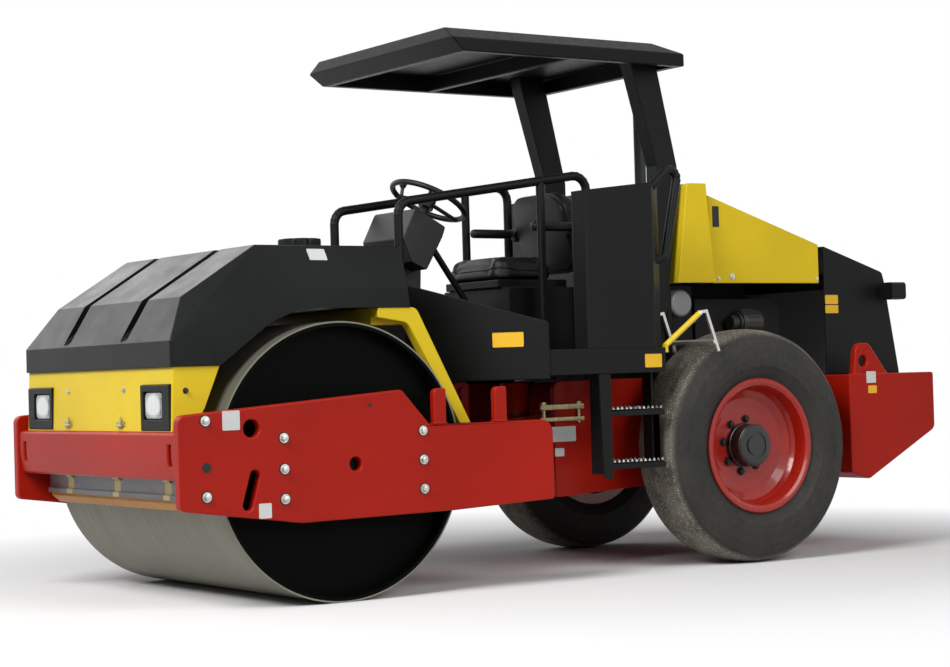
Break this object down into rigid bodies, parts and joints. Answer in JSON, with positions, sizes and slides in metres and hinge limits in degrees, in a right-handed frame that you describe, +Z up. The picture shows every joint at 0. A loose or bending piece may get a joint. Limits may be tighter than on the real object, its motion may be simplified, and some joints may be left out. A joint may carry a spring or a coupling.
{
  "type": "road roller",
  "caption": "Articulated soil compactor with a smooth steel drum in a plate frame, a moulded water tank above it, rubber rear tyres and an open driver's platform under a roof.",
  "frame": {"origin": "on the floor under the middle of the machine's box", "axes": "+X forward (drum end), +Y to the machine's left, +Z up"},
  "size_m": [4.512, 1.8, 2.59],
  "materials": {
    "red_paint": "glossy enamel",
    "yellow_paint": "glossy enamel",
    "black_paint": "satin enamel",
    "black_plastic": "satin moulding",
    "seat_vinyl": "satin",
    "drum_steel": "rolled and worn",
    "chrome_rod": "polished",
    "zinc_steel": "zinc plated",
    "grey_steel": "satin",
    "blade_ochre": "worn",
    "engine_iron": "matt",
    "lamp_glass": "clear lens",
    "tyre_rubber": "matt"
  },
  "bodies": {
    "rear_frame": {"rear_frame": "red_paint", "lock_link": "zinc_steel", "rear_axle": "black_paint", "counterweight": "red_paint", "platform": "black_paint", "platform_panels": "black_paint", "steps": "black_paint", "side_tanks": "black_paint", "handrails": "black_paint", "console": "black_plastic", "steering_wheel": "black_plastic", "seat_base": "black_paint", "seat_cushion": "seat_vinyl", "seat_back": "seat_vinyl", "rops_posts": "black_paint", "roof": "black_plastic", "bulkhead": "black_paint", "cowl": "yellow_paint", "engine": "engine_iron", "exhaust": "black_paint", "air_cleaner": "grey_steel", "tyre_scrapers": "yellow_paint", "radiator": "grey_steel", "rear_shroud": "black_paint", "rear_lamps": "black_paint"},
    "front_frame": {"side_plate_left": "red_paint", "side_plate_right": "red_paint", "front_beam": "red_paint", "rear_beam": "red_paint", "front_cover": "yellow_paint", "lamp_bezels": "black_paint", "head_lamps": "lamp_glass", "water_tank": "black_plastic", "filler_cap": "black_plastic", "tank_legs": "yellow_paint", "front_scraper": "grey_steel", "scraper_blade": "blade_ochre", "drum_carriers": "black_paint"},
    "drum": {"drum": "drum_steel"},
    "hitch": {"hitch": "red_paint"},
    "barrel_left": {"cylinder_left": "black_paint"},
    "rod_left": {"rod_left": "chrome_rod"},
    "barrel_right": {"cylinder_right": "black_paint"},
    "rod_right": {"rod_right": "chrome_rod"},
    "hood": {"hood": "yellow_paint"},
    "wheel_left": {"rim_left": "red_paint", "tyre_left": "tyre_rubber"},
    "wheel_right": {"rim_right": "red_paint", "tyre_right": "tyre_rubber"}
  },
  "joints": [
    {"name": "steer", "type": "hinge", "parent": "rear_frame", "child": "hitch", "pos_m": [-0.056, 0, 0.6], "axis": [0, 0, 1], "range_deg": [-38, 38]},
    {"name": "swing", "type": "hinge", "parent": "hitch", "child": "front_frame", "pos_m": [-0.056, 0, 0.6], "axis": [1, 0, 0], "range_deg": [-9, 9]},
    {"name": "drum_spin", "type": "hinge", "parent": "front_frame", "child": "drum", "pos_m": [1.444, 0, 0.61], "axis": [0, 1, 0], "continuous": true},
    {"name": "wheel_left_spin", "type": "hinge", "parent": "rear_frame", "child": "wheel_left", "pos_m": [-0.956, 0.695, 0.58], "axis": [0, 1, 0], "continuous": true},
    {"name": "wheel_right_spin", "type": "hinge", "parent": "rear_frame", "child": "wheel_right", "pos_m": [-0.956, -0.695, 0.58], "axis": [0, 1, 0], "continuous": true},
    {"name": "hood_open", "type": "hinge", "parent": "rear_frame", "child": "hood", "pos_m": [-1.691, 0, 1.586], "axis": [0, -1, 0], "range_deg": [0, 60]},
    {"name": "barrel_left_swing", "type": "hinge", "parent": "rear_frame", "child": "barrel_left", "pos_m": [-0.606, 0.14, 0.6], "axis": [0, 0, 1], "range_deg": [-7.5, 7.5]},
    {"name": "rod_left_slide", "type": "slide", "parent": "barrel_left", "child": "rod_left", "axis": [0.9834, 0.1816, 0], "range_m": [-0.153, 0.153]},
    {"name": "barrel_right_swing", "type": "hinge", "parent": "rear_frame", "child": "barrel_right", "pos_m": [-0.606, -0.14, 0.6], "axis": [0, 0, 1], "range_deg": [-7.5, 7.5]},
    {"name": "rod_right_slide", "type": "slide", "parent": "barrel_right", "child": "rod_right", "axis": [0.9834, -0.1816, 0], "range_m": [-0.153, 0.153]}
  ],
  "couplings": [
    {"joint": "barrel_left_swing", "follows": "steer", "ratio": 0.1947},
    {"joint": "rod_left_slide", "follows": "steer", "m_per_rad": -0.2287},
    {"joint": "barrel_right_swing", "follows": "steer", "ratio": 0.1947},
    {"joint": "rod_right_slide", "follows": "steer", "m_per_rad": 0.2287}
  ]
}
